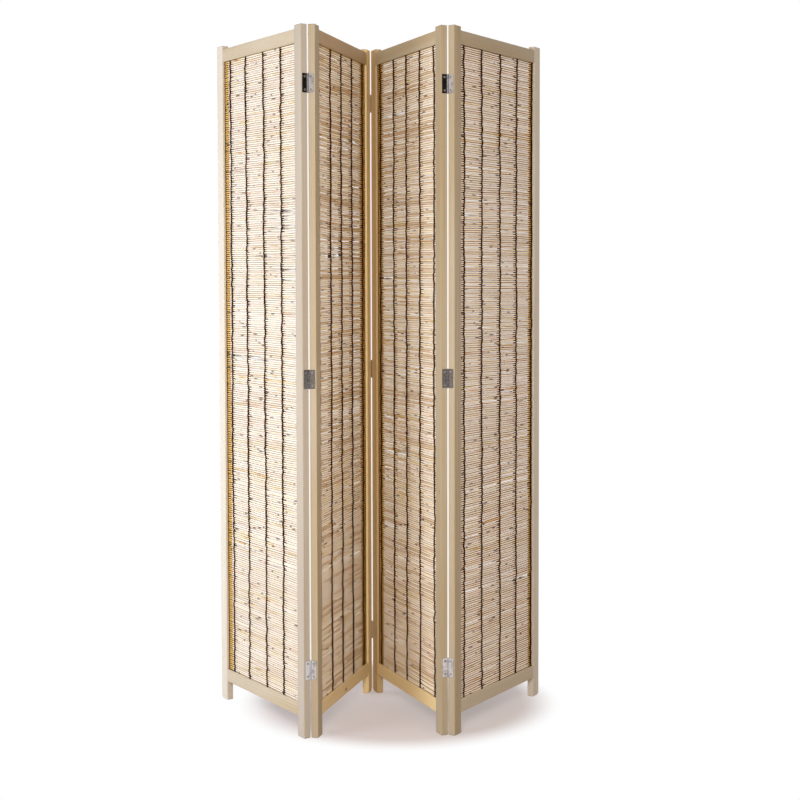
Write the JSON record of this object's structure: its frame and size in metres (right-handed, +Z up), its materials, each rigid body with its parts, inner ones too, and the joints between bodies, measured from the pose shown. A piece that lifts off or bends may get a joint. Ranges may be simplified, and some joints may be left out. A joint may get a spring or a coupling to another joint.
{
  "type": "folding screen",
  "caption": "Free-standing folding room screen: pine-framed panels filled with bound reed matting, hinged edge to edge so that they stand in a zigzag.",
  "frame": {"origin": "on the floor, under the middle of the box that holds the standing screen", "axes": "+Z up, +X to the right as seen from the front, +Y from the front to the back"},
  "size_m": [0.8852, 0.4434, 1.8],
  "materials": {
    "frame_pine": "planed, unvarnished",
    "dowel_beech": "fluted, glued in",
    "reed_straw": "natural dry reed, dull sheen",
    "brown_twine": "twisted, matt",
    "plated_steel": "bright nickel plate"
  },
  "bodies": {
    "panel_1": {"panel_1_left_stile": "frame_pine", "panel_1_right_stile": "frame_pine", "panel_1_top_rail": "frame_pine", "panel_1_bottom_rail": "frame_pine", "panel_1_dowels": "dowel_beech", "panel_1_reeds": "reed_straw", "panel_1_twine": "brown_twine", "panel_1_hinge_screws": "plated_steel", "left_fold_top_left_leaf": "plated_steel", "left_fold_top_pin": "plated_steel", "left_fold_middle_left_leaf": "plated_steel", "left_fold_middle_pin": "plated_steel", "left_fold_bottom_left_leaf": "plated_steel", "left_fold_bottom_pin": "plated_steel"},
    "panel_2": {"panel_2_left_stile": "frame_pine", "panel_2_right_stile": "frame_pine", "panel_2_top_rail": "frame_pine", "panel_2_bottom_rail": "frame_pine", "panel_2_dowels": "dowel_beech", "panel_2_reeds": "reed_straw", "panel_2_twine": "brown_twine", "panel_2_hinge_screws": "plated_steel", "left_fold_top_right_leaf": "plated_steel", "left_fold_middle_right_leaf": "plated_steel", "left_fold_bottom_right_leaf": "plated_steel", "middle_fold_top_left_leaf": "plated_steel", "middle_fold_top_pin": "plated_steel", "middle_fold_middle_left_leaf": "plated_steel", "middle_fold_middle_pin": "plated_steel", "middle_fold_bottom_left_leaf": "plated_steel", "middle_fold_bottom_pin": "plated_steel"},
    "panel_3": {"panel_3_left_stile": "frame_pine", "panel_3_right_stile": "frame_pine", "panel_3_top_rail": "frame_pine", "panel_3_bottom_rail": "frame_pine", "panel_3_dowels": "dowel_beech", "panel_3_reeds": "reed_straw", "panel_3_twine": "brown_twine", "panel_3_hinge_screws": "plated_steel", "middle_fold_top_right_leaf": "plated_steel", "middle_fold_middle_right_leaf": "plated_steel", "middle_fold_bottom_right_leaf": "plated_steel", "right_fold_top_left_leaf": "plated_steel", "right_fold_top_pin": "plated_steel", "right_fold_middle_left_leaf": "plated_steel", "right_fold_middle_pin": "plated_steel", "right_fold_bottom_left_leaf": "plated_steel", "right_fold_bottom_pin": "plated_steel"},
    "panel_4": {"panel_4_left_stile": "frame_pine", "panel_4_right_stile": "frame_pine", "panel_4_top_rail": "frame_pine", "panel_4_bottom_rail": "frame_pine", "panel_4_dowels": "dowel_beech", "panel_4_reeds": "reed_straw", "panel_4_twine": "brown_twine", "panel_4_hinge_screws": "plated_steel", "right_fold_top_right_leaf": "plated_steel", "right_fold_middle_right_leaf": "plated_steel", "right_fold_bottom_right_leaf": "plated_steel"}
  },
  "joints": [
    {"name": "left_fold", "type": "hinge", "parent": "panel_2", "child": "panel_1", "pos_m": [-0.17251, -0.21288, 0], "axis": [0, 0, 1], "range_deg": [-51, 129]},
    {"name": "middle_fold", "type": "hinge", "parent": "panel_2", "child": "panel_3", "pos_m": [-0.02442, 0.21588, 0], "axis": [0, 0, 1], "range_deg": [-40.5, 139.5]},
    {"name": "right_fold", "type": "hinge", "parent": "panel_3", "child": "panel_4", "pos_m": [0.17694, -0.19059, 0], "axis": [0, 0, -1], "range_deg": [-57.6, 122.4]}
  ]
}
